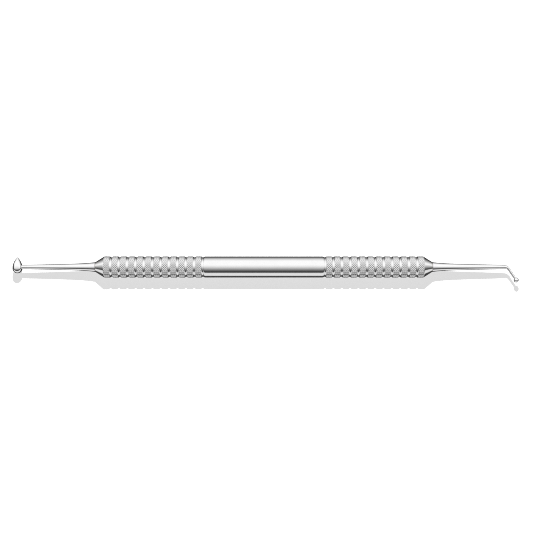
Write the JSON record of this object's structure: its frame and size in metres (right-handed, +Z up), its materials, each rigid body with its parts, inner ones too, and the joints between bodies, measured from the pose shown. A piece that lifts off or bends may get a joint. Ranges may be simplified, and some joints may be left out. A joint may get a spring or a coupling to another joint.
{
  "type": "double-ended dental burnisher",
  "caption": "Double-ended dental burnisher: hollow knurled handle with cone ends, an acorn-shaped head on one shank and a small ball on a bent neck on the other.",
  "frame": {"origin": "middle of the handle's length, on the handle's axis", "axes": "+X along the handle towards the ball end, +Y the way the acorn's point faces, +Z up with the instrument lying flat; the ball end bends towards -Y"},
  "size_m": [0.17, 0.0088, 0.0072],
  "materials": {
    "handle_steel": "polished stainless steel, with diamond knurling on the bands",
    "cone_steel": "mirror-polished stainless steel",
    "tip_steel": "mirror-polished hardened stainless steel",
    "silver_solder": "satin silver braze, with a faint heat tint beside it"
  },
  "bodies": {
    "root": {"handle_tube": "handle_steel", "acorn_end_cone": "cone_steel", "ball_end_cone": "cone_steel", "acorn_solder_ring": "silver_solder", "ball_solder_ring": "silver_solder", "acorn_working_end": "tip_steel", "ball_working_end": "tip_steel"}
  },
  "joints": []
}
